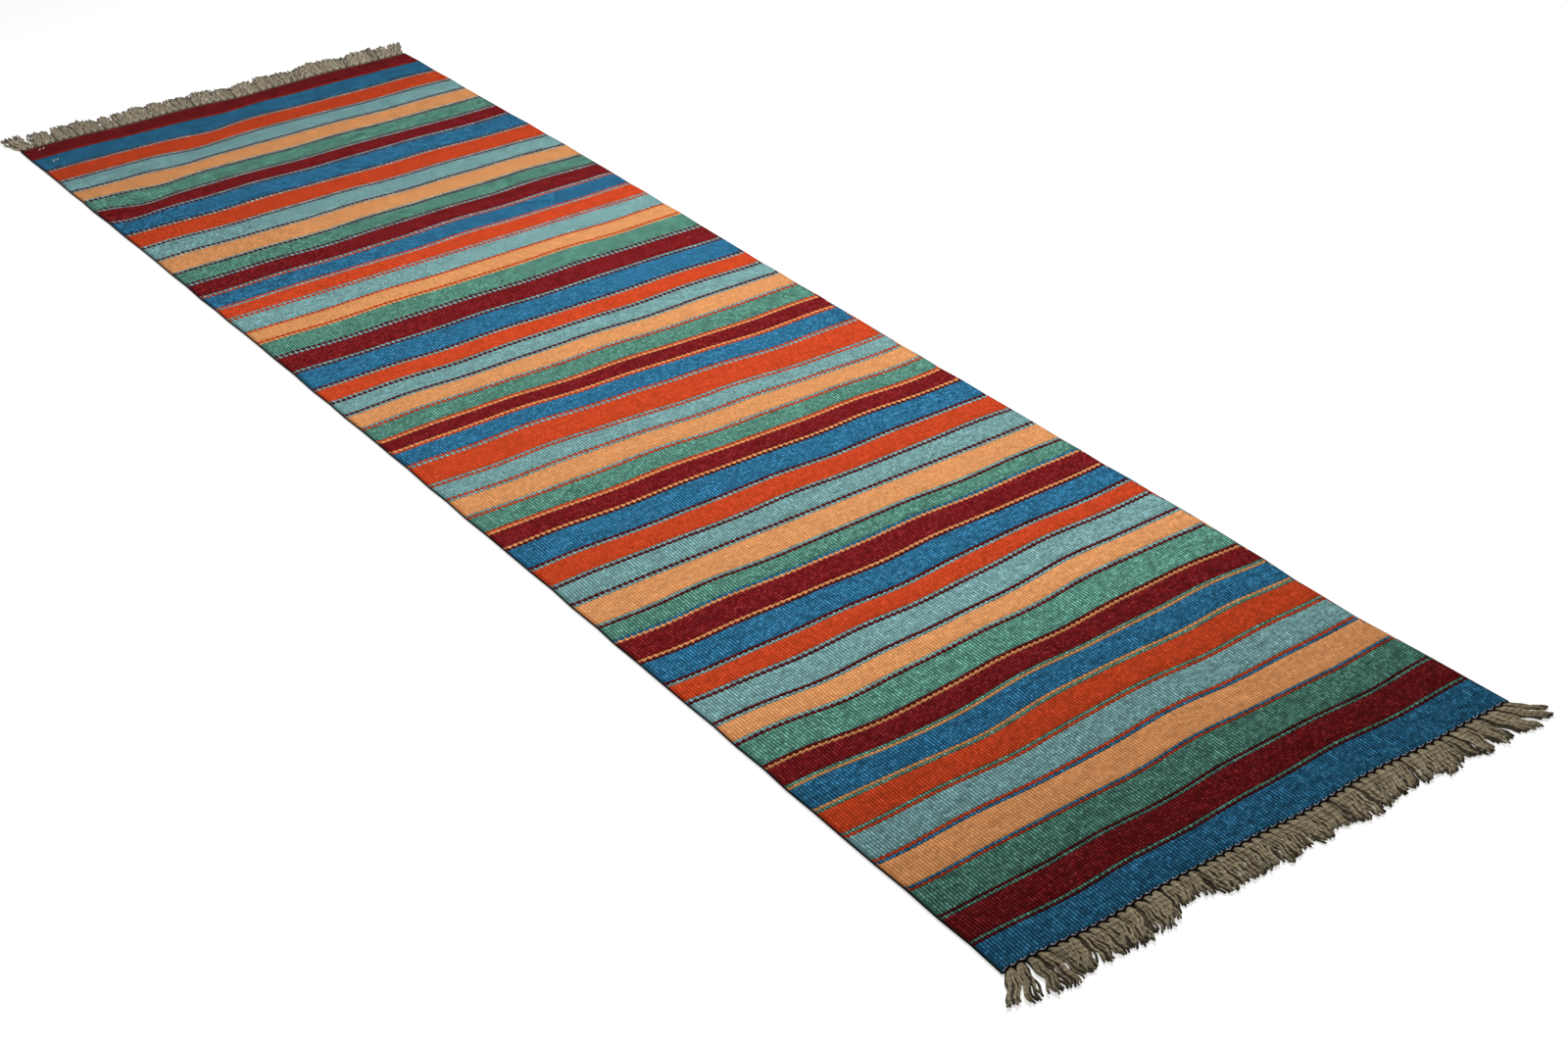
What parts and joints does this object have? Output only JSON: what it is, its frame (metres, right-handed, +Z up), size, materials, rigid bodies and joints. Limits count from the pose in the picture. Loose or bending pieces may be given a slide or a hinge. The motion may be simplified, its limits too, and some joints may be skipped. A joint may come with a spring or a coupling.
{
  "type": "runner rug",
  "caption": "Long flat-woven runner rug with striped cross bands, corded edges and fringed ends, which folds over on itself.",
  "frame": {"origin": "centre of the bounding box on the floor side, under the middle of the rug", "axes": "+Y along the length from the blue end to the maroon end, +X across the width, +Z up out of the walking face"},
  "size_m": [0.8576, 2.916, 0.004],
  "materials": {
    "weft_blue": "matt hand-spun wool, mottled blue",
    "weft_maroon": "matt hand-spun wool, dark red",
    "weft_green": "matt hand-spun wool, sea green",
    "weft_peach": "matt hand-spun wool, soft peach",
    "weft_teal": "matt hand-spun wool, pale grey-teal",
    "weft_orange": "matt hand-spun wool, burnt orange",
    "selvedge": "bundled edge warps, dark grey-brown",
    "end_cord": "twined yarn, lavender grey",
    "warp_fringe": "loose plied warp yarn, khaki grey"
  },
  "bodies": {
    "near_panel": {"band_01_blue": "weft_blue", "band_02_maroon": "weft_maroon", "band_03_green": "weft_green", "band_04_peach": "weft_peach", "band_05_teal": "weft_teal", "band_06_orange": "weft_orange", "band_07_blue": "weft_blue", "band_08_maroon": "weft_maroon", "band_09_green": "weft_green", "band_10_peach": "weft_peach", "band_11_teal": "weft_teal", "band_12_orange": "weft_orange", "band_13_blue": "weft_blue", "band_14_maroon": "weft_maroon", "band_15_green": "weft_green", "band_16_peach": "weft_peach", "selvedge_left_near": "selvedge", "selvedge_right_near": "selvedge", "end_cord_near": "end_cord", "fringe_near": "warp_fringe"},
    "centre_panel": {"band_17_teal": "weft_teal", "band_18_orange": "weft_orange", "band_19_blue": "weft_blue", "band_20_maroon": "weft_maroon", "band_21_green": "weft_green", "band_22_peach": "weft_peach", "band_23_teal": "weft_teal", "band_24_orange": "weft_orange", "band_25_blue": "weft_blue", "band_26_maroon": "weft_maroon", "band_27_green": "weft_green", "band_28_peach": "weft_peach", "band_29_teal": "weft_teal", "band_30_orange": "weft_orange", "band_31_blue": "weft_blue", "band_32_maroon": "weft_maroon", "band_33_green": "weft_green", "band_34_peach": "weft_peach", "band_35_teal": "weft_teal", "selvedge_left_centre": "selvedge", "selvedge_right_centre": "selvedge"},
    "far_panel": {"band_36_orange": "weft_orange", "band_37_blue": "weft_blue", "band_38_maroon": "weft_maroon", "band_39_green": "weft_green", "band_40_peach": "weft_peach", "band_41_teal": "weft_teal", "band_42_orange": "weft_orange", "band_43_blue": "weft_blue", "band_44_maroon": "weft_maroon", "band_45_green": "weft_green", "band_46_peach": "weft_peach", "band_47_teal": "weft_teal", "band_48_orange": "weft_orange", "band_49_blue": "weft_blue", "band_50_maroon": "weft_maroon", "selvedge_left_far": "selvedge", "selvedge_right_far": "selvedge", "end_cord_far": "end_cord", "fringe_far": "warp_fringe"}
  },
  "joints": [
    {"name": "near_fold", "type": "hinge", "parent": "centre_panel", "child": "near_panel", "pos_m": [0, -0.521, 0.0055], "axis": [-1, 0, 0], "range_deg": [0, 180]},
    {"name": "far_fold", "type": "hinge", "parent": "centre_panel", "child": "far_panel", "pos_m": [0, 0.514, 0.009], "axis": [1, 0, 0], "range_deg": [0, 180]}
  ]
}
